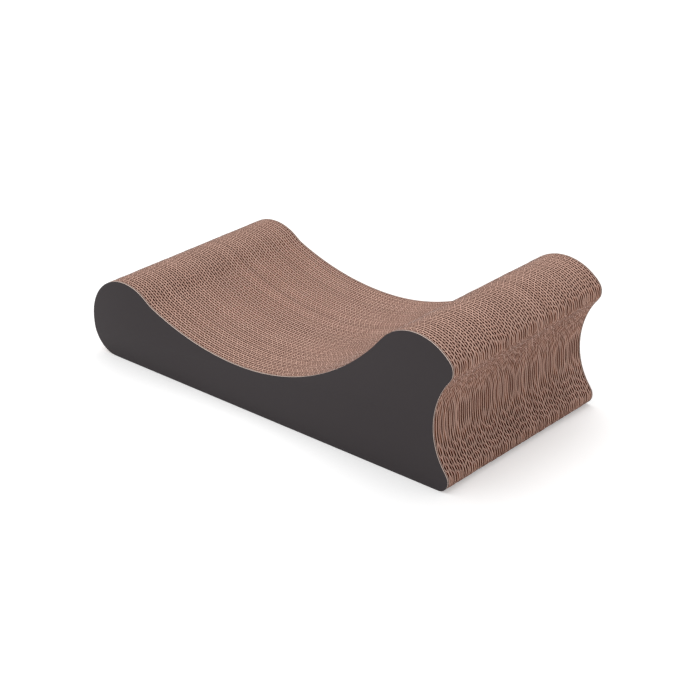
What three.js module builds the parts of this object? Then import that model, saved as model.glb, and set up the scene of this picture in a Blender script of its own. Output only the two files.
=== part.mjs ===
// A low cat scratching lounge: upright sheets of corrugated board, glued face to face between two
// printed side panels and all die cut to one flowing outline. The cut edges of the sheets are the
// scratching surface.
//
// Millimetres, +Z up. X runs from the nose to the headrest, Y across the sheets. The origin lies on
// the floor, under the middle of the block.

import * as THREE from "three";

// Outline: lengths along X start at the tip of the nose, heights at the floor, turns are in degrees
const LENGTH = 480;
const CHIN_RADIUS = 30;
const NOSE_HEIGHT = 87.5;
const NOSE_RADIUS = 53;
const SHOULDER_TURN = 43; // round the nose from its crest, where the seat would cut into it
const SHOULDER_RADIUS = 35;
const SEAT_LOW_X = 214;
const SEAT_HEIGHT = 45.5;
const HEADREST_HEIGHT = 146.5;
const HEADREST_RADIUS = 52;
const TIP_RADIUS = 13.5;
const TIP_TURN = 43; // above level, where the headrest's roll tightens into its tip
const WAIST_HEIGHT = 59;
const WAIST_DEPTH = 23;
const FOOT_SETBACK = 7;
const FOOT_RADIUS = 11.5;

// Board: each core sheet is double wall, three liners with a fluted medium between each two
const SHEET_COUNT = 36;
const SHEET_THICKNESS = 5.6;
const PANEL_THICKNESS = 1.8;
const GLUE_LINE = 0.3;

// How far a flat may stand off the true arc
const FACET_DEPTH = 0.15;

const KRAFT = 0xa58376;
const CHARCOAL = 0x423e3f;

const LEFT = Math.PI;
const DOWN = -Math.PI / 2;

const at = (x, z) => new THREE.Vector2(x, z);

// A roll is a convex round of the outline, and a hollow a concave one
const roll = (centre, radius) => ({ centre, radius, clockwise: true });
const hollow = (centre, radius) => ({ centre, radius, clockwise: false });

// The direction from one round's centre to another's, in which two touching rounds meet
function towards(from, to) {
  return Math.atan2(to.centre.y - from.centre.y, to.centre.x - from.centre.x);
}

// A hollow that lies square to its inward direction at its deepest point and just touches a roll.
// Its centre is on the line from that point, as far from the roll's rim as from the point.
function hollowTouching(deepest, inward, { centre, radius }) {
  const fromRoll = deepest.clone().sub(centre);
  const reach = (fromRoll.lengthSq() - radius ** 2) / (2 * (radius - fromRoll.dot(inward)));
  return hollow(deepest.clone().addScaledVector(inward, reach), reach);
}

// A hollow of a given radius that eases a roll into a wider hollow, on the roll's right.
// Its centre is one corner of a triangle whose three sides are known.
function easing(start, end, radius) {
  const toStart = start.radius + radius;
  const toEnd = end.radius - radius;
  const apart = start.centre.distanceTo(end.centre);
  const opening = Math.acos((toStart ** 2 + apart ** 2 - toEnd ** 2) / (2 * toStart * apart));
  const direction = towards(start, end) - opening;
  const offset = at(Math.cos(direction), Math.sin(direction)).multiplyScalar(toStart);
  return hollow(start.centre.clone().add(offset), radius);
}

// Points along a round, with as few flats as the facet depth allows; the next round adds its end
function along({ centre, radius, clockwise }, from, to) {
  const arc = new THREE.ArcCurve(centre.x, centre.y, radius, from, to, clockwise);
  const flat = 2 * radius * Math.acos(1 - FACET_DEPTH / radius);
  return arc.getPoints(Math.ceil(arc.getLength() / flat)).slice(0, -1);
}

function outline() {
  const up = at(0, 1);
  const outward = at(1, 0);

  // The nose: a wide roll over a chin, which end on one plumb front
  const noseCentreHeight = NOSE_HEIGHT - NOSE_RADIUS;
  const chinRadius = Math.min(CHIN_RADIUS, noseCentreHeight);
  const chin = roll(at(chinRadius, chinRadius), chinRadius);
  const nose = roll(at(NOSE_RADIUS, noseCentreHeight), NOSE_RADIUS);

  // The headrest: a roll that tightens into a tip at the far end of the length
  const tipTurn = THREE.MathUtils.degToRad(TIP_TURN);
  const tipReach = at(Math.cos(tipTurn), Math.sin(tipTurn)).multiplyScalar(HEADREST_RADIUS - TIP_RADIUS);
  const headrestX = LENGTH - TIP_RADIUS - tipReach.x;
  const headrest = roll(at(headrestX, HEADREST_HEIGHT - HEADREST_RADIUS), HEADREST_RADIUS);
  const tip = roll(headrest.centre.clone().add(tipReach), TIP_RADIUS);

  // The seat: two hollows, level where they meet at its lowest point
  const seatLow = at(SEAT_LOW_X, SEAT_HEIGHT);
  const shoulderTurn = THREE.MathUtils.degToRad(SHOULDER_TURN);
  const shoulderStart = at(Math.sin(shoulderTurn), Math.cos(shoulderTurn)).multiplyScalar(NOSE_RADIUS);
  const fall = hollowTouching(seatLow, up, roll(nose.centre.clone().add(shoulderStart), 0));
  const shoulder = easing(nose, fall, SHOULDER_RADIUS);
  const rise = hollowTouching(seatLow, up, headrest);

  // The end under the headrest: a waist of two hollows, down to a foot that flares out again
  const foot = roll(at(LENGTH - FOOT_SETBACK - FOOT_RADIUS, FOOT_RADIUS), FOOT_RADIUS);
  const waistDeepest = at(LENGTH - WAIST_DEPTH, WAIST_HEIGHT);
  const upperWaist = hollowTouching(waistDeepest, outward, tip);
  const lowerWaist = hollowTouching(waistDeepest, outward, foot);

  return new THREE.Shape([
    ...along(chin, DOWN, LEFT),
    ...along(nose, LEFT, towards(nose, shoulder)),
    ...along(shoulder, towards(shoulder, nose), towards(fall, shoulder)),
    ...along(fall, towards(fall, shoulder), DOWN),
    ...along(rise, DOWN, towards(rise, headrest)),
    ...along(headrest, towards(headrest, rise), tipTurn),
    ...along(tip, tipTurn, towards(tip, upperWaist)),
    ...along(upperWaist, towards(upperWaist, tip), LEFT),
    ...along(lowerWaist, LEFT, towards(lowerWaist, foot)),
    ...along(foot, towards(foot, lowerWaist), DOWN),
    at(foot.centre.x, 0),
  ]);
}

// Board of one thickness cut to the outline and stood on edge, its near face on Y = 0
function dieCut(shape, thickness) {
  const board = new THREE.ExtrudeGeometry(shape, { depth: thickness, bevelEnabled: false });
  board.rotateX(Math.PI / 2);
  board.translate(-LENGTH / 2, thickness, 0);
  return board;
}

function piece(name, board, color, y) {
  const material = new THREE.MeshStandardMaterial({ color, roughness: 0.95, metalness: 0 });
  const mesh = new THREE.Mesh(board, material);
  mesh.name = name;
  mesh.position.y = y;
  return mesh;
}

function scratcher() {
  const shape = outline();
  const sheet = dieCut(shape, SHEET_THICKNESS);
  const panel = dieCut(shape, PANEL_THICKNESS);
  const sheetPitch = SHEET_THICKNESS + GLUE_LINE;
  const coreWidth = SHEET_COUNT * sheetPitch + GLUE_LINE;

  const block = new THREE.Group();
  block.add(piece("side_panel_front", panel, CHARCOAL, -coreWidth / 2 - PANEL_THICKNESS));
  for (let index = 0; index < SHEET_COUNT; index += 1) {
    const name = `core_sheet_${String(index + 1).padStart(2, "0")}`;
    block.add(piece(name, sheet, KRAFT, -coreWidth / 2 + GLUE_LINE + index * sheetPitch));
  }
  block.add(piece("side_panel_back", panel, CHARCOAL, coreWidth / 2));
  return block;
}

export default scratcher();
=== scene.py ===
# %% [markdown]
# # A cat scratching lounge of corrugated board
#
# The object is a block of upright corrugated sheets, glued face to face between two printed side
# panels. One die cuts every board to the same flowing outline, so the surface a cat lies on and
# scratches is nothing but cut edges, with thousands of small open cells between them. Those cells are
# built here as real geometry, because their depth is what the eye reads on the seat, the headrest and
# the hollow end.
#
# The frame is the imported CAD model. Everything is in metres and in its axes: X runs from the nose to the
# headrest, Y across the sheets and Z up, with the origin on the floor.

# %% Load the frame
import math
import random

import bmesh
import bpy
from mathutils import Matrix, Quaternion, Vector
from mathutils.geometry import interpolate_bezier


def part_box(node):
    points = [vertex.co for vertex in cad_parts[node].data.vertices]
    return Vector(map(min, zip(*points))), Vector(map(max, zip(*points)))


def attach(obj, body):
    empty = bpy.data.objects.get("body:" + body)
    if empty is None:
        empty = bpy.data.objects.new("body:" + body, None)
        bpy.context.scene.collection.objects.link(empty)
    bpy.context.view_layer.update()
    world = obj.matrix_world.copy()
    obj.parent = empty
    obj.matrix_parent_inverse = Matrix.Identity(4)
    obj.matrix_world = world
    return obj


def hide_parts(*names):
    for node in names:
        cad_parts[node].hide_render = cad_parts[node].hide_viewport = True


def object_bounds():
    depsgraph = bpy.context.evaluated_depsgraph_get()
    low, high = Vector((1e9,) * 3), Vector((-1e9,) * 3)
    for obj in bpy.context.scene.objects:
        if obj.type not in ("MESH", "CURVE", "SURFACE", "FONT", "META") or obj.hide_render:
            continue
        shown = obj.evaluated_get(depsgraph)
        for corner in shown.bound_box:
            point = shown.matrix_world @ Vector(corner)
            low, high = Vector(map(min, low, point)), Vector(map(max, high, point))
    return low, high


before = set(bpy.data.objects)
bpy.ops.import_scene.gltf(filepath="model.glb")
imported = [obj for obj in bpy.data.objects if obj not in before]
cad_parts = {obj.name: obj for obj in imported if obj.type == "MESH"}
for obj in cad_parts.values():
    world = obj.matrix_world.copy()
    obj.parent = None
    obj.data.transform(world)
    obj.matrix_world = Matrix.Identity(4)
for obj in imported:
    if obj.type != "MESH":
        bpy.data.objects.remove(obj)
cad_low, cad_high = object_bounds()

MM = 0.001
scene = bpy.context.scene
block_size = cad_high - cad_low
sheet_nodes = sorted(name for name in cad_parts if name.startswith("core_sheet"))
print(len(sheet_nodes), "core sheets in a block of", [round(c / MM, 1) for c in block_size], "mm")

# %% [markdown]
# ## The camera
#
# The camera comes first, so that every later step can be judged in the final view. It looks at the
# headrest end from the right and from above, through a long lens that keeps the far panel almost as
# large as the near one. It is placed as a photographer would describe it: how far round the object and
# how high it stands, how far off, what it aims at and how it is tilted on its tripod.

# %% Place the camera
AZIMUTH = math.radians(43.44)
ELEVATION = math.radians(25.83)
ROLL = math.radians(-2.12)
DISTANCE = 1712 * MM
AIM = Vector((18.9, 0.8, 34.4)) * MM
LENS_MM = 89.7

backwards = Vector((
    math.sin(AZIMUTH) * math.cos(ELEVATION),
    -math.cos(AZIMUTH) * math.cos(ELEVATION),
    math.sin(ELEVATION),
))
camera = bpy.data.objects.new("camera", bpy.data.cameras.new("camera"))
scene.collection.objects.link(camera)
scene.camera = camera
camera.data.lens = LENS_MM
camera.location = AIM + backwards * DISTANCE
camera.rotation_mode = "QUATERNION"
camera.rotation_quaternion = Quaternion(backwards, ROLL) @ (-backwards).to_track_quat("-Z", "Y")
print("camera at", [round(c, 3) for c in camera.location])

# %% [markdown]
# ## The die-cut outline
#
# One steel-rule die cuts every board, so one outline serves all pieces. It could be drawn again from
# arcs, but the frame already holds it, so it is read from the front panel. The edges where the panel's
# front meets its rim are followed from corner to corner.

# %% Read the outline
MERGE = 0.001 * MM  # corners closer than this are one
FACE_ON = 0.9  # a face whose normal points across the block by more than this is a flat side


def rim_of(node):
    """The corners round the front face of a node, from the foot of the nose over the top."""
    solid = bmesh.new()
    solid.from_mesh(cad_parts[node].data)
    bmesh.ops.remove_doubles(solid, verts=solid.verts, dist=MERGE)
    front = {face for face in solid.faces if face.normal.y < -FACE_ON}
    neighbours = {}
    for edge in solid.edges:
        if sum(face in front for face in edge.link_faces) == 1:
            first, second = edge.verts
            neighbours.setdefault(first, []).append(second)
            neighbours.setdefault(second, []).append(first)
    walk = [min(neighbours, key=lambda vert: (vert.co.z, vert.co.x))]
    walk.append(min(neighbours[walk[0]], key=lambda vert: vert.co.x))
    while len(walk) < len(neighbours):
        walk.append(next(vert for vert in neighbours[walk[-1]] if vert != walk[-2]))
    places = [Vector((vert.co.x, 0, vert.co.z)) for vert in walk]
    solid.free()
    return places


panel_rim = rim_of("side_panel_front")
print("rim of", len(panel_rim), "corners")

# %% [markdown]
# The frame's outline is made of short flats. Each corner lies on the true curve, so a Bezier span from
# corner to corner, with handles a third of the span long, gives the curve back. A Subdivision Surface
# would smooth the boards too, but it would pull the curve inwards and bend the long base, which has to
# stay straight.

# %% Smooth the outline
STRAIGHT = 60 * MM  # a longer span is meant to be straight
STEPS_PER_FLAT = 4


def smoothed(corners):
    """Points on the curve through the corners of a closed rim."""
    count = len(corners)
    spans = [corners[(i + 1) % count] - corners[i] for i in range(count)]
    straight = [span.length > STRAIGHT for span in spans]
    tangents = []
    for i in range(count):
        before, after = spans[i - 1].normalized(), spans[i].normalized()
        if straight[i - 1]:
            tangents.append(before)
        elif straight[i]:
            tangents.append(after)
        else:
            tangents.append((before + after).normalized())
    curve = []
    for i in range(count):
        following = (i + 1) % count
        start, end = corners[i], corners[following]
        handle = spans[i].length / 3
        steps = 1 if straight[i] else STEPS_PER_FLAT
        curve += interpolate_bezier(
            start, start + tangents[i] * handle, end - tangents[following] * handle, end, steps + 1
        )[:-1]
    return curve


outline = smoothed(panel_rim)
print("outline of", len(outline), "points")

# %% [markdown]
# ## Helpers for node trees
#
# Shaders and geometry trees are both node trees, so one small function serves both: it adds a node,
# sets its properties, and fills each input with a value or links it to what feeds it. Colours are
# written as they look, in sRGB, and turned to the linear values that a shader works in.

# %% Add nodes, read colours


def feed(node, inputs):
    """Fills inputs. Each takes a value, a socket, a node (its first output) or a list of these."""
    for key, value in inputs.items():
        sources = value if isinstance(value, list) else [value]
        for source in sources:
            if isinstance(source, bpy.types.Node):
                source = next(socket for socket in source.outputs if socket.enabled)
            if isinstance(source, bpy.types.NodeSocket):
                node.id_data.links.new(source, node.inputs[key])
            else:
                node.inputs[key].default_value = source


def add(tree, kind, inputs=None, **settings):
    """A new node with its settings and its inputs."""
    node = tree.nodes.new(kind)
    for name, value in settings.items():
        setattr(node, name, value)
    feed(node, inputs or {})
    return node


def linear(hexadecimal):
    """An sRGB hex colour as linear RGBA, by the formula of the sRGB standard."""
    encoded = [int(hexadecimal[i:i + 2], 16) / 255 for i in (1, 3, 5)]
    decoded = [c / 12.92 if c <= 0.04045 else ((c + 0.055) / 1.055) ** 2.4 for c in encoded]
    return (*decoded, 1.0)


def new_material(name, **constants):
    """A material with a Principled shader on its output, and that shader's constant inputs set."""
    material = bpy.data.materials.new(name)
    material.use_nodes = True
    tree = material.node_tree
    tree.nodes.clear()
    shader = add(tree, "ShaderNodeBsdfPrincipled", constants)
    add(tree, "ShaderNodeOutputMaterial", {"Surface": shader})
    return material, tree, shader


print("#808080 is", round(linear("#808080")[0], 3), "in linear light")

# %% [markdown]
# ## Kraft paper
#
# Corrugated board is unbleached paper: liners of long-fibred kraft, with fluting of recycled pulp
# between them. Both are quite matt, and the eye meets them in three ways. On the cut surface it sees the
# paper's thickness, torn open by the die into pale fuzzy fibre. Inside a cell it sees the paper's face,
# which light reaches only after bouncing from wall to wall, so a millimetre down it is a dark red-brown.
# At the hollow end the cut runs along the flutes and lays them open like gutters, and there the face is
# as pale as any brown paper.
#
# True walls of thin pale paper would darken with depth by themselves. Here the paper is drawn thicker than
# it is, so the shade of depth is painted into the paper's colour: a curve in the shader holds the block's
# outline, and the height of the outline above a point tells how deep the point lies.

# %% Depth below the cut
PROFILE_STEPS = 120


def height_at(x):
    """The height of the block's top above the floor, at a place along its length."""
    heights = [0.0]
    for start, end in zip(outline, outline[1:]):
        if min(start.x, end.x) <= x <= max(start.x, end.x) and start.x != end.x:
            heights.append(start.lerp(end, (x - start.x) / (end.x - start.x)).z)
    return max(heights)


def depth_below_cut(tree, place):
    """How far a point of the block lies from its cut top or from its base, whichever is nearer."""
    along = add(tree, "ShaderNodeMapRange", {
        "Value": place.outputs["X"], "From Min": cad_low.x, "From Max": cad_high.x,
    })
    profile = add(tree, "ShaderNodeFloatCurve", {"Value": along})
    shares = [i / PROFILE_STEPS for i in range(PROFILE_STEPS + 1)]
    points = profile.mapping.curves[0].points
    for share in shares[1:-1]:
        points.new(share, 0)
    for point, share in zip(points, shares):
        point.location = (share, height_at(cad_low.x + block_size.x * share) / block_size.z)
    profile.mapping.update()
    top = add(tree, "ShaderNodeMath", {0: profile, 1: block_size.z}, operation="MULTIPLY")
    below = add(tree, "ShaderNodeMath", {0: top, 1: place.outputs["Z"]}, operation="SUBTRACT")
    return add(tree, "ShaderNodeMath", {0: below, 1: place.outputs["Z"]}, operation="MINIMUM")


print("the top is", round(height_at(0) / MM, 1), "mm high in mid length")

# %% [markdown]
# Depth alone isn't enough. At the hollow end the paper can lie far below the top, and yet light reaches it,
# because the flutes are laid open there. The board will carry that as an attribute on its corners, and the
# painted light in the paper's colour takes whichever of the two is paler.

# %% Where light reaches the paper
SHADE_DEPTH = 0.8 * MM
OPENNESS = "openness"


def painted_light_share(tree, place):
    """Painted light: 1 where light reaches the paper, at the cut or in a flute laid open, and 0 deep in a
    cell.
    """
    lit = add(tree, "ShaderNodeMapRange", {
        "Value": depth_below_cut(tree, place), "From Max": SHADE_DEPTH, "To Min": 1.0, "To Max": 0.0,
    })
    openness = add(tree, "ShaderNodeAttribute", attribute_name=OPENNESS).outputs["Fac"]
    return add(tree, "ShaderNodeMath", {0: lit, 1: openness}, operation="MAXIMUM")


print("light fades over", round(SHADE_DEPTH / MM, 1), "mm below the cut")

# %% [markdown]
# A plain colour would do at a distance. Near by, the eye looks for fibres and for the cloudy tone of
# pulp, so the colour is mixed from noise whose scale is a real size. Where fibres stand up, paper is
# rougher and higher at once, so one grain drives both. Two noises that don't agree would look wrong.

# %% Tone and grain
FIBRE = 0.7 * MM
CLOUD = 24 * MM


def paper_grain(tree, spot):
    """The fibres of a paper, and their mix with the clouds that pulp dries into."""
    # Real fibres are 0.03 mm thick. They are drawn as tufts of 0.7 mm, which still show in the render.
    fibres = add(tree, "ShaderNodeTexNoise", {"Vector": spot, "Scale": 1 / FIBRE, "Detail": 3.0})
    clouds = add(tree, "ShaderNodeTexNoise", {"Vector": spot, "Scale": 1 / CLOUD, "Detail": 2.0})
    cloudy = add(tree, "ShaderNodeMix", {"Factor": 0.5, "A": fibres, "B": clouds})
    return fibres, cloudy


def pulp(tree, share, tones):
    """A colour between a light and a dark tone."""
    light, dark = tones
    return add(tree, "ShaderNodeMix", {
        "Factor": share, "A": linear(dark), "B": linear(light),
    }, data_type="RGBA")


def finish(tree, shader, colour, grain, roughness, relief):
    """Gives a shader its colour, and lets one grain drive both its roughness and its relief."""
    matt = add(tree, "ShaderNodeMapRange", {
        "Value": grain, "To Min": roughness[0], "To Max": roughness[1],
    })
    bump = add(tree, "ShaderNodeBump", {"Height": grain, "Distance": relief})
    feed(shader, {"Base Color": colour, "Roughness": matt, "Normal": bump})


print("fibres of", round(FIBRE / MM, 1), "mm in clouds of", round(CLOUD / MM), "mm")

# %% [markdown]
# No two sheets come from quite the same paper, and the small change of shade from one to the next draws
# faint stripes along the seat. A material for each sheet would give that. One material can do it as well,
# if it works out a sheet's number from its place across the block and draws a shade by that number.

# %% A shade for each sheet
SHEET_SHADE = (0.93, 1.07)

first_low, second_low = (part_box(node)[0] for node in sheet_nodes[:2])
sheet_pitch = second_low.y - first_low.y


def sheet_shade(tree, place):
    """The brightness of the sheet that a point lies in."""
    sheet = add(tree, "ShaderNodeMath", {0: place.outputs["Y"], 1: sheet_pitch}, operation="DIVIDE")
    number = add(tree, "ShaderNodeMath", {0: sheet}, operation="FLOOR")
    chance = add(tree, "ShaderNodeTexWhiteNoise", {"W": number}, noise_dimensions="1D").outputs["Value"]
    return add(tree, "ShaderNodeMapRange", {
        "Value": chance, "To Min": SHEET_SHADE[0], "To Max": SHEET_SHADE[1],
    })


print("a sheet every", round(sheet_pitch / MM, 2), "mm")

# %% [markdown]
# Two finishes come from these parts. The paper's face is painted dark in the cells as shade, and paler where
# light reaches it. The cut edge is pale, and its loose fibre lights up at a flat angle, as velvet does,
# which the shader's sheen gives.

# %% Paper faces and cut edges
# The cell tones are painted shade deep in the cells. The lit tones are the same paper, painted where light
# reaches it.
PAINTED_CELL_SHADE = ("#6c2107", "#441103")  # each finish has a light and a dark tone
PAINTED_LIT_PAPER = ("#986b54", "#7d4830")
EDGE = ("#ebc4b3", "#cfa392")
PAPER_IOR = 1.45
PAPER_GLOSS = 0.06
PAPER_ROUGHNESS = (0.82, 0.98)
FIBRE_RELIEF = 0.05 * MM
FUZZ = 1.0
FUZZ_SPREAD = 0.2
FUZZ_TINT = "#f4f0f2"


def kraft(name, tones, lit_tones=None, fuzz=0.0):
    """Unbleached paper. It gives the eye a dull, warm, cloudy brown with hardly any shine."""
    # Loose fibre scatters nearly all light, so the specular level is far below that of a smooth skin.
    material, tree, shader = new_material(name, **{
        "IOR": PAPER_IOR, "Specular IOR Level": PAPER_GLOSS,
        "Sheen Weight": fuzz, "Sheen Roughness": FUZZ_SPREAD, "Sheen Tint": linear(FUZZ_TINT),
    })
    spot = add(tree, "ShaderNodeTexCoord").outputs["Object"]
    place = add(tree, "ShaderNodeSeparateXYZ", {"Vector": spot})
    fibres, cloudy = paper_grain(tree, spot)
    colour = pulp(tree, cloudy, tones)
    # Painted shade: the colour runs from the dark cell tones deep in a cell to the lit tones where light
    # reaches.
    if lit_tones:
        colour = add(tree, "ShaderNodeMix", {
            "Factor": painted_light_share(tree, place), "A": colour, "B": pulp(tree, cloudy, lit_tones),
        }, data_type="RGBA")
    shaded = add(tree, "ShaderNodeHueSaturation", {"Color": colour, "Value": sheet_shade(tree, place)})
    finish(tree, shader, shaded, fibres, PAPER_ROUGHNESS, FIBRE_RELIEF)
    return material


paper_face = kraft("kraft_paper_painted_shade", PAINTED_CELL_SHADE, lit_tones=PAINTED_LIT_PAPER)
cut_edge = kraft("kraft_cut_edge", EDGE, fuzz=FUZZ)
print("finishes:", paper_face.name, "and", cut_edge.name)

# %% [markdown]
# ## The board, as a geometry tree
#
# A corrugator presses a paper web into flutes and glues it to a flat liner. That is a single face web.
# Two such webs and a closing liner make double wall board. The trees below make it the same way, at any
# size, and then cut it with the die's blank by an exact solid intersection. Each sheet could be cut by
# hand from channels instead, but a rule that can be run with new flute phases gives every sheet its own
# pattern for free.
#
# The fluting starts as a straight line along the gap between two liners, with a few points to each
# flute. The phase moves the line lengthwise, and the flutes with it.

# %% A line along the gap
STEPS_PER_FLUTE = 10


def flute_line(tree, given):
    """A straight line along the middle of the gap behind a liner, with a few points to each flute."""
    # It starts half a board back from the liner's middle, and half a layer behind it.
    span = add(tree, "ShaderNodeCombineXYZ", {"X": given["Length"], "Y": given["Layer Pitch"]})
    corner = add(tree, "ShaderNodeVectorMath", {
        0: span, 1: (-0.5, 0.5, 0), 2: given["Place"],
    }, operation="MULTIPLY_ADD")
    shift = add(tree, "ShaderNodeMath", {0: given["Flute Pitch"], 1: given["Phase"]}, operation="MULTIPLY")
    # Between liners of unequal thickness, the gap lies off the middle by a quarter of the difference.
    excess = add(tree, "ShaderNodeMath", {0: given["Liner"], 1: given["Next Liner"]}, operation="SUBTRACT")
    centring = add(tree, "ShaderNodeMath", {0: excess, 1: 0.25}, operation="MULTIPLY")
    start = add(tree, "ShaderNodeVectorMath", {
        0: corner, 1: add(tree, "ShaderNodeCombineXYZ", {"X": shift, "Y": centring}),
    }, operation="ADD")
    line = add(tree, "GeometryNodeCurvePrimitiveLine", {
        "Start": start, "Direction": (1, 0, 0), "Length": given["Length"],
    }, mode="DIRECTION")
    step = add(tree, "ShaderNodeMath", {0: given["Flute Pitch"], 1: STEPS_PER_FLUTE}, operation="DIVIDE")
    return add(tree, "GeometryNodeResampleCurve", {"Curve": line, "Length": step}, mode="LENGTH")


print("each flute is bent in", STEPS_PER_FLUTE, "steps")

# %% [markdown]
# The line is bent into waves, and an upright strip of paper is swept along it. Fluting is pressed flat
# where it is glued to a liner, and its flanks stand at their full width, so the strip gets thinner
# towards each tip. The curve's radius does that, because Curve to Mesh can scale the strip by it.

# %% Waves of fluting
GLUE_BITE = 0.03 * MM  # a tip sinks into its liner by this
TIP_SHARE = 0.25  # a tip's share of the full width


def fluting(tree, given):
    """A strip of paper in waves between two liners, thinner at each tip, and leaning a little."""
    along = add(tree, "GeometryNodeSplineParameter").outputs["Length"]
    flutes = add(tree, "ShaderNodeMath", {0: along, 1: given["Flute Pitch"]}, operation="DIVIDE")
    angle = add(tree, "ShaderNodeMath", {0: flutes, 1: math.tau}, operation="MULTIPLY")
    round_wave = add(tree, "ShaderNodeMath", {0: angle}, operation="SINE")
    # The sine of a sine has broader tips and steeper flanks, as fluting has.
    bend = add(tree, "ShaderNodeMath", {0: round_wave, 1: math.pi / 2}, operation="MULTIPLY")
    wave = add(tree, "ShaderNodeMath", {0: bend}, operation="SINE")
    # The gap is what half of each liner leaves of a layer. The wave reaches both its sides, less half a tip.
    both = add(tree, "ShaderNodeMath", {0: given["Liner"], 1: given["Next Liner"]}, operation="ADD")
    gap = add(tree, "ShaderNodeMath", {0: both, 1: -0.5, 2: given["Layer Pitch"]}, operation="MULTIPLY_ADD")
    tip = add(tree, "ShaderNodeMath", {0: given["Fluting"], 1: TIP_SHARE}, operation="MULTIPLY")
    room = add(tree, "ShaderNodeMath", {0: gap, 1: tip}, operation="SUBTRACT")
    reach = add(tree, "ShaderNodeMath", {0: room, 1: 0.5, 2: GLUE_BITE}, operation="MULTIPLY_ADD")
    sway = add(tree, "ShaderNodeMath", {0: wave, 1: reach}, operation="MULTIPLY")
    crush = add(tree, "ShaderNodeMath", {0: round_wave}, operation="ABSOLUTE")
    share = add(tree, "ShaderNodeMapRange", {"Value": crush, "To Min": 1.0, "To Max": TIP_SHARE})
    crushed = add(tree, "GeometryNodeSetCurveRadius", {"Curve": flute_line(tree, given), "Radius": share})
    waved = add(tree, "GeometryNodeSetPosition", {
        "Geometry": crushed, "Offset": add(tree, "ShaderNodeCombineXYZ", {"Y": sway}),
    })
    level = add(tree, "GeometryNodeSetCurveNormal", {"Curve": waved}, mode="Z_UP")
    # The radius scales the strip's height as well, so the strip is made tall enough for the tips.
    tall = add(tree, "ShaderNodeMath", {0: given["Height"], 1: TIP_SHARE}, operation="DIVIDE")
    section = add(tree, "GeometryNodeCurvePrimitiveQuadrilateral", {
        "Width": given["Fluting"], "Height": tall,
    })
    strip = add(tree, "GeometryNodeCurveToMesh", {
        "Curve": level, "Profile Curve": section, "Fill Caps": True,
        "Scale": add(tree, "GeometryNodeInputRadius"),
    })
    position = add(tree, "ShaderNodeSeparateXYZ", {"Vector": add(tree, "GeometryNodeInputPosition")})
    slip = add(tree, "ShaderNodeMath", {0: position.outputs["Z"], 1: given["Lean"]}, operation="MULTIPLY")
    return add(tree, "GeometryNodeSetPosition", {
        "Geometry": strip, "Offset": add(tree, "ShaderNodeCombineXYZ", {"X": slip}),
    })


print("a tip keeps", TIP_SHARE, "of the paper's thickness")

# %% [markdown]
# A tree's inputs are named sockets on its interface, so one tree serves boards of every size. The sizes
# that a board hands on to its webs are listed once, for both trees. The liner is a flat slab, and a
# union makes one closed solid of it and the fluting, because the cut that follows works on solids.

# %% One single face web
WEB_SIZES = dict.fromkeys(("Length", "Height", "Layer Pitch", "Fluting", "Flute Pitch", "Lean"), "Float")


def new_tree(name, inputs, output):
    """A geometry tree with named inputs and one geometry output."""
    tree = bpy.data.node_groups.new(name, "GeometryNodeTree")
    for label, kind in inputs.items():
        tree.interface.new_socket(label, in_out="INPUT", socket_type="NodeSocket" + kind)
    tree.interface.new_socket(output, in_out="OUTPUT", socket_type="NodeSocketGeometry")
    return tree, add(tree, "NodeGroupInput").outputs


def liner(tree, given, thickness, place):
    """A flat sheet of paper, as long and as high as the board."""
    size = add(tree, "ShaderNodeCombineXYZ", {"X": given["Length"], "Y": thickness, "Z": given["Height"]})
    slab = add(tree, "GeometryNodeMeshCube", {"Size": size})
    return add(tree, "GeometryNodeTransform", {"Geometry": slab, "Translation": place})


def single_face_web():
    """A flat liner with fluting glued to its back."""
    tree, given = new_tree("single_face_web", {
        "Place": "Vector", "Phase": "Float", "Liner": "Float", "Next Liner": "Float", **WEB_SIZES,
    }, "Web")
    flat = liner(tree, given, given["Liner"], given["Place"])
    glued = add(tree, "GeometryNodeMeshBoolean", {
        "Mesh 2": [flat, fluting(tree, given)],
    }, operation="UNION", solver="MANIFOLD")
    add(tree, "NodeGroupOutput", {0: glued})
    return tree


web = single_face_web()
print(web.name, "has", len(web.nodes), "nodes")

# %% [markdown]
# The board also has to know where the die has laid its flutes open. That depends on how the cut slopes,
# which the blank's own rim tells: its normal points up where the cut crosses the flutes, and level or down
# where it runs along or under them. The slope of the nearest rim is kept on every corner of the board as an
# attribute, which the painted light in the paper's colour reads.

# %% Where flutes are laid open
CROSS_CUT = 0.45  # the upward share of the rim's normal, where no flute is laid open
LENGTH_CUT = 0.10  # and where all are


def laid_open(tree, given, by_die):
    """1 where the nearest cut runs along the flutes, and 0 where it crosses them."""
    rim = add(tree, "GeometryNodeSeparateGeometry", {
        "Geometry": given["Blank"], "Selection": by_die,
    }, domain="FACE")
    outward = add(tree, "GeometryNodeSampleNearestSurface", {
        "Mesh": rim, "Value": add(tree, "GeometryNodeInputNormal"),
    }, data_type="FLOAT_VECTOR")
    slope = add(tree, "ShaderNodeSeparateXYZ", {"Vector": outward})
    return add(tree, "ShaderNodeMapRange", {
        "Value": slope.outputs["Z"], "From Min": CROSS_CUT, "From Max": LENGTH_CUT,
    }, interpolation_type="SMOOTHSTEP")


print("flutes open where the cut is steeper than", round(math.degrees(math.acos(CROSS_CUT))), "degrees")

# %% [markdown]
# All is now at hand for the whole board. The blank's rim carries the finish of a cut edge and the board
# that of paper, and an intersection keeps the finish of each face, so the cut surface finds its own.

# %% Double wall board, cut to the blank


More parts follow.
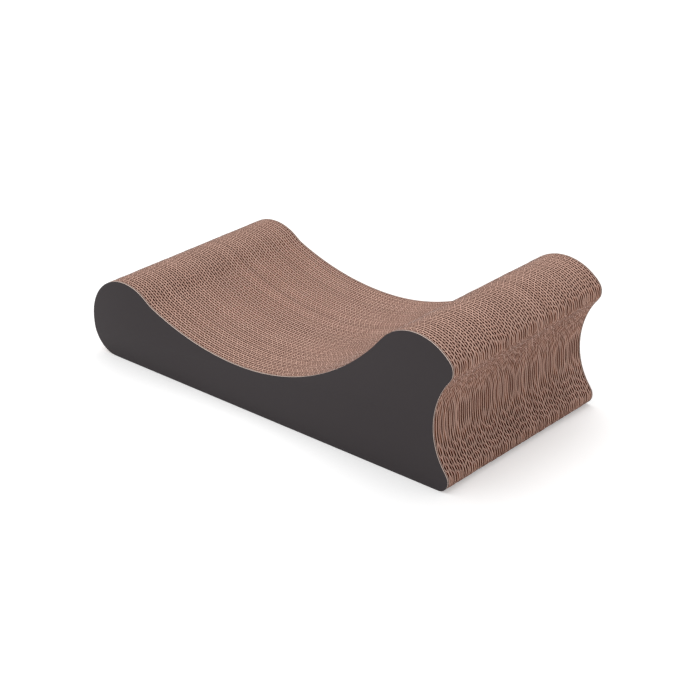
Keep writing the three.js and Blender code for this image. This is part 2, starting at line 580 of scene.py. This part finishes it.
def double_wall_board():
    """Two single face webs and a closing liner, cut to the blank that carries the modifier."""
    tree, given = new_tree("double_wall_board", {
        "Blank": "Geometry", "Place": "Vector", "Front Phase": "Float", "Back Phase": "Float",
        "Glued Liners": "Float", "Middle Liner": "Float", **WEB_SIZES,
    }, "Board")
    sizes = {label: given[label] for label in WEB_SIZES}
    layer = add(tree, "ShaderNodeCombineXYZ", {"Y": given["Layer Pitch"]})
    before = add(tree, "ShaderNodeVectorMath", {0: given["Place"], 1: layer}, operation="SUBTRACT")
    behind = add(tree, "ShaderNodeVectorMath", {0: given["Place"], 1: layer}, operation="ADD")
    front = add(tree, "GeometryNodeGroup", {
        "Place": before, "Phase": given["Front Phase"],
        "Liner": given["Glued Liners"], "Next Liner": given["Middle Liner"], **sizes,
    }, node_tree=web)
    back = add(tree, "GeometryNodeGroup", {
        "Place": given["Place"], "Phase": given["Back Phase"],
        "Liner": given["Middle Liner"], "Next Liner": given["Glued Liners"], **sizes,
    }, node_tree=web)
    closing = liner(tree, given, given["Glued Liners"], behind)
    glued = add(tree, "GeometryNodeMeshBoolean", {
        "Mesh 2": [front, back, closing],
    }, operation="UNION", solver="MANIFOLD")
    paper = add(tree, "GeometryNodeSetMaterial", {"Geometry": glued, "Material": paper_face})
    cut = add(tree, "GeometryNodeMeshBoolean", {
        "Mesh 2": [given["Blank"], paper],
    }, operation="INTERSECT", solver="MANIFOLD")
    by_die = add(tree, "GeometryNodeMaterialSelection", {"Material": cut_edge})
    told = add(tree, "GeometryNodeStoreNamedAttribute", {
        "Geometry": cut, "Name": OPENNESS, "Value": laid_open(tree, given, by_die),
    }, domain="POINT")
    whole = add(tree, "GeometryNodeRealizeInstances", {"Geometry": told})
    finished = add(tree, "GeometryNodeSetMaterial", {
        "Geometry": whole, "Selection": by_die, "Material": cut_edge,
    })
    add(tree, "NodeGroupOutput", {0: finished})
    return tree


board = double_wall_board()
print(board.name, "has", len(board.nodes), "nodes")

# %% [markdown]
# ## The core sheets
#
# Each sheet starts as its die-cut blank: the outline, as thick as the sheet and its share of the glue. A
# filled curve with an extrusion would give the same solid. In mesh code the rim and the two faces can get
# their own finishes at once, which is how the tree knows what the die has cut.

# %% Cut a blank
HAIRLINE = 0.02 * MM  # left between neighbouring blanks


def prism(levels, slip=0.0):
    """A closed solid of the outline, with a rim at each level across the block, slipped lengthwise."""
    solid = bmesh.new()
    rims = [[solid.verts.new((point.x + slip, y, point.z)) for point in outline] for y in levels]
    for near, far in zip(rims, rims[1:]):
        for i in range(len(outline)):
            solid.faces.new((near[i - 1], near[i], far[i], far[i - 1]))
    solid.faces.new(rims[0])
    solid.faces.new(rims[-1])
    bmesh.ops.recalc_face_normals(solid, faces=solid.faces)
    return solid


def new_piece(name, solid, materials):
    """An object at the origin that holds a solid."""
    mesh = bpy.data.meshes.new(name)
    solid.to_mesh(mesh)
    solid.free()
    for material in materials:
        mesh.materials.append(material)
    piece = bpy.data.objects.new(name, mesh)
    scene.collection.objects.link(piece)
    return piece


def blank(name, middle, slip):
    """A die-cut blank. Its rim is cut edge, its two faces are paper."""
    half = (sheet_pitch - HAIRLINE) / 2
    solid = prism((middle - half, middle + half), slip)
    for face in solid.faces:
        face.material_index = int(abs(face.normal.y) > FACE_ON)
    return new_piece(name, solid, [cut_edge, paper_face])


print("a blank is", round((sheet_pitch - HAIRLINE) / MM, 2), "mm thick")

# %% [markdown]
# A modifier runs the board's tree on a blank. Its inputs are set by the sockets' identifiers, before the
# piece is first evaluated. The result is then kept as a plain mesh and the modifier goes, so that the
# piece can be exported as it is. Smooth shading makes the flutes round, and only true corners stay sharp.

# %% Fill a blank with board
SHARP_CORNER = math.radians(35)

sockets = {item.name: item.identifier for item in board.interface.items_tree}


def soften(piece):
    """Shades a piece smooth, apart from its corners."""
    piece.data.shade_smooth()
    piece.data.set_sharp_from_angle(angle=SHARP_CORNER)


def corrugated(piece, values):
    """Runs the board tree on a blank and keeps the result as the piece's plain mesh."""
    modifier = piece.modifiers.new("board", "NODES")
    modifier.node_group = board
    for label, value in values.items():
        modifier[sockets[label]] = value
    evaluated = piece.evaluated_get(bpy.context.evaluated_depsgraph_get())
    piece.data = bpy.data.meshes.new_from_object(evaluated)
    piece.modifiers.remove(modifier)
    soften(piece)


print("sockets of the board:", ", ".join(sockets))

# %% [markdown]
# The boards come off one long web, so from layer to layer the flutes advance by nearly the same share of
# their pitch, which wanders slowly. That is why the real block shows slanting rows of cells that bend and
# fade. No sheet is glued quite in line with its neighbours either: each one slips a little lengthwise,
# and its flutes lean a little. The rows are in step at the headrest and lean apart from there down to
# the foot. A fixed seed makes every run draw the same block.
#
# Where two sheets meet, their outer liners lie back to back and show as one broader line, half of which
# belongs to each sheet. The paper is drawn two to three times as thick as real paper, because a true
# liner of 0.3 mm would vanish between the pixels.

# %% Make all the sheets
GLUED_LINERS = 1.15 * MM  # the paper's thickness, as in the next two
MIDDLE_LINER = 0.8 * MM
FLUTING = 0.6 * MM
FLUTE_PITCH = 6.7 * MM
OVERSIZE = 12 * MM  # the uncut board stands out past its blank by this
SEED = 7
ADVANCE = 0.66  # as a share of the flute pitch, like the next two
ADVANCE_DRIFT = 0.03
JITTER = 0.14
ADVANCE_PULL = 0.12  # the share of a drift that is made good at the next layer
SLIP = 0.16 * MM
LEAN = 0.02  # lengthwise, for each unit of height

board_sizes = {
    "Length": cad_high.x - cad_low.x + 2 * OVERSIZE, "Layer Pitch": sheet_pitch / 2,
    "Glued Liners": GLUED_LINERS, "Middle Liner": MIDDLE_LINER,
    "Fluting": FLUTING, "Flute Pitch": FLUTE_PITCH,
}
draw = random.Random(SEED)
advance = ADVANCE
phase = 0.0
triangles = 0
for node in sheet_nodes:
    low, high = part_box(node)
    middle = (low.y + high.y) / 2
    phases = {}
    for layer in ("Front Phase", "Back Phase"):
        advance += (ADVANCE - advance) * ADVANCE_PULL + draw.gauss(0, ADVANCE_DRIFT)
        phase += advance
        phases[layer] = phase + draw.gauss(0, JITTER)
    sheet = blank(node + "_board", middle, draw.gauss(0, SLIP))
    lean = draw.gauss(0, LEAN)
    in_step = lean * high.z / FLUTE_PITCH  # off the phases, so that leaning flutes agree at the top
    corrugated(sheet, {
        "Place": (0, middle, high.z / 2), "Height": high.z + 2 * OVERSIZE, "Lean": lean,
        **{layer: (share - in_step) % 1 for layer, share in phases.items()}, **board_sizes,
    })
    triangles += sum(len(face.vertices) - 2 for face in sheet.data.polygons)
    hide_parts(node)
    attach(sheet, "root")
print(len(sheet_nodes), "sheets of about", triangles // len(sheet_nodes), "triangles each")

# %% [markdown]
# ## The side panels
#
# The panels are solid board, cut by the same die: a pale lining on a dark back, with charcoal print over the
# lining. Ink on board is never quite even, so a fine noise gives it a faint mottle. The lining shows only
# its cut plies, which a wave texture draws as thin stripes.

# %% Charcoal print, lining and back
PRINT = ("#3d3739", "#383234")
# The back is a near-black ply. Its rim draws the dark line beside the last sheet.
DARK_BACK = ("#231e20", "#1a1617")
CHARCOAL_ROUGHNESS = (0.72, 0.88)
CHARCOAL_RELIEF = 0.02 * MM
MOTTLE = 3 * MM
LINING = ("#ffe9dd", "#f3d3c4")
PLY = 0.45 * MM
WAVE_RADIANS = 20  # through which Blender's wave texture runs in each unit, at a scale of 1


def charcoal(name, tones):
    """Matt charcoal ink, and the near-black back ply. It gives the eye an even near-black with a faint
    mottle.
    """
    material, tree, shader = new_material(name, IOR=PAPER_IOR)
    spot = add(tree, "ShaderNodeTexCoord").outputs["Object"]
    mottle = add(tree, "ShaderNodeTexNoise", {"Vector": spot, "Scale": 1 / MOTTLE, "Detail": 4.0})
    finish(tree, shader, pulp(tree, mottle, tones), mottle, CHARCOAL_ROUGHNESS, CHARCOAL_RELIEF)
    return material


def bleached_board():
    """The cut edge of bleached board. It gives the eye a thin pale line, faintly striped by its plies."""
    material, tree, shader = new_material(
        "bleached_board", **{"IOR": PAPER_IOR, "Specular IOR Level": PAPER_GLOSS}
    )
    spot = add(tree, "ShaderNodeTexCoord").outputs["Object"]
    plies = add(tree, "ShaderNodeTexWave", {
        "Vector": spot, "Scale": math.tau / WAVE_RADIANS / PLY, "Distortion": 1.0,
    }, bands_direction="Y").outputs["Fac"]
    finish(tree, shader, pulp(tree, plies, LINING), plies, PAPER_ROUGHNESS, FIBRE_RELIEF)
    return material


panel_finishes = [charcoal("charcoal_print", PRINT), bleached_board(), charcoal("dark_back_board", DARK_BACK)]
print("finishes:", [material.name for material in panel_finishes])

# %% [markdown]
# The cut rim lays both plies open. The lining is the thin pale line between the print and the brown
# cells, and the back draws a thin dark line beside the last sheet. Two solids, one for each ply, would
# meet in hidden faces, so a ring of edges round the rim parts the plies of one solid. The die also
# crushes the outer corner a little, which a bevel gives.

# %% Build the panels
LINING_SHARE = 0.5
CRUSH = 0.2 * MM
CRUSH_STEPS = 3


def side_panel(node):
    """A panel of lined board, with its print on the outside and its outer corner crushed."""
    low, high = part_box(node)
    outer, inner = sorted((low.y, high.y), key=abs, reverse=True)
    ply = outer + (inner - outer) * LINING_SHARE
    solid = prism((outer, ply, inner))
    # Counted from the outside: the print is finish 0, the lining 1 and the back 2.
    for face in solid.faces:
        across = abs(face.calc_center_median().y)
        face.material_index = int(across < abs(outer) - HAIRLINE) + int(across < abs(ply))
    corner = [
        edge for edge in solid.edges
        if all(abs(vert.co.y - outer) < HAIRLINE for vert in edge.verts)
    ]
    bmesh.ops.bevel(
        solid, geom=corner, offset=CRUSH, offset_type="OFFSET", segments=CRUSH_STEPS, profile=0.5,
        affect="EDGES", material=0,
    )
    panel = new_piece(node + "_printed", solid, panel_finishes)
    soften(panel)
    return panel


for node in ("side_panel_front", "side_panel_back"):
    panel = side_panel(node)
    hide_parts(node)
    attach(panel, "root")
    print(panel.name, len(panel.data.polygons), "faces")

# %% [markdown]
# ## The floor
#
# The floor is a white sweep, as in a product studio. It has to look white without more light on the
# object, so it adds a little light of its own, for the rays that show the background and for no others.
# More lamps would whiten it too, but they would bleach the board. The floor under the block gets none of
# that light, because it shows through the flutes to someone who looks straight down them.

# %% What shows as background


def seen_directly(tree):
    """1 for rays that show the background: from the camera, in a mirror or through glass. Else 0."""
    rays = add(tree, "ShaderNodeLightPath")
    either = add(tree, "ShaderNodeMath", {
        0: rays.outputs["Is Camera Ray"], 1: rays.outputs["Is Glossy Ray"],
    }, operation="ADD")
    return add(tree, "ShaderNodeMath", {
        0: either, 1: rays.outputs["Is Transmission Ray"],
    }, operation="ADD", use_clamp=True)


def open_floor(tree):
    """1 for the floor, but 0 under the base of the block."""
    spot = add(tree, "ShaderNodeTexCoord").outputs["Object"]
    place = add(tree, "ShaderNodeSeparateXYZ", {"Vector": spot})
    base = [point.x for point in outline if point.z < HAIRLINE]
    spans = {"X": (min(base), max(base)), "Y": (cad_low.y, cad_high.y)}
    # Compare asks whether a place lies within half a span of the span's middle.
    within = [
        add(tree, "ShaderNodeMath", {
            0: place.outputs[axis], 1: (low + high) / 2, 2: (high - low) / 2,
        }, operation="COMPARE")
        for axis, (low, high) in spans.items()
    ]
    covered = add(tree, "ShaderNodeMath", {0: within[0], 1: within[1]}, operation="MULTIPLY")
    return add(tree, "ShaderNodeMath", {0: 1.0, 1: covered}, operation="SUBTRACT")


print("the base covers", round((cad_high.y - cad_low.y) / MM, 1), "mm of the floor's width")

# %% [markdown]
# The floor itself is one large square. It is lit like everything else, so the object's soft shadow stays
# on it, and the added light only lifts it to white.

# %% Lay the floor
WHITE = "#ffffff"
FLOOR_WHITE = "#ededed"
FLOOR_LIFT = 0.35
FLOOR_SIZE = 8.0  # metres


def pale_floor():
    """Matt white studio paper. It gives the eye nothing but the object's shadow."""
    material, tree, shader = new_material("pale_floor", **{
        "Base Color": linear(FLOOR_WHITE), "Roughness": 1.0, "Specular IOR Level": 0.0,
        "Emission Color": linear(WHITE),
    })
    shown = add(tree, "ShaderNodeMath", {0: seen_directly(tree), 1: open_floor(tree)}, operation="MULTIPLY")
    lift = add(tree, "ShaderNodeMath", {0: shown, 1: FLOOR_LIFT}, operation="MULTIPLY")
    feed(shader, {"Emission Strength": lift})
    return material


sweep = bmesh.new()
bmesh.ops.create_grid(sweep, size=FLOOR_SIZE / 2)
floor = new_piece("floor", sweep, [pale_floor()])
print("floor", FLOOR_SIZE, "m wide")

# %% [markdown]
# ## The light
#
# One very large soft source hangs high up and a little towards the nose. An area lamp would fade towards
# the ends of the floor, so it is a sun lamp with a wide angle, which lights all of it evenly. The world
# fills the shadows, and like the floor it is white where the camera sees it.

# %% Light the studio
WORLD_LIGHT = 0.45
SUN_FROM = Vector((-0.25, 0.1, 0.96))
SUN_STRENGTH = 1.9
SUN_ANGLE = math.radians(70)

world = bpy.data.worlds.new("studio")
scene.world = world
world.use_nodes = True
sky = world.node_tree
strength = add(sky, "ShaderNodeMapRange", {
    "Value": seen_directly(sky), "To Min": WORLD_LIGHT, "To Max": 1.0,
})
feed(sky.nodes["Background"], {"Color": linear(WHITE), "Strength": strength})

lamp = bpy.data.lights.new("overhead", "SUN")
lamp.energy = SUN_STRENGTH
lamp.angle = SUN_ANGLE
overhead = bpy.data.objects.new("overhead", lamp)
overhead.rotation_euler = (-SUN_FROM).to_track_quat("-Z", "Y").to_euler()
scene.collection.objects.link(overhead)
scene.view_settings.view_transform = "Standard"
print("lit by", world.name, "and", lamp.name)
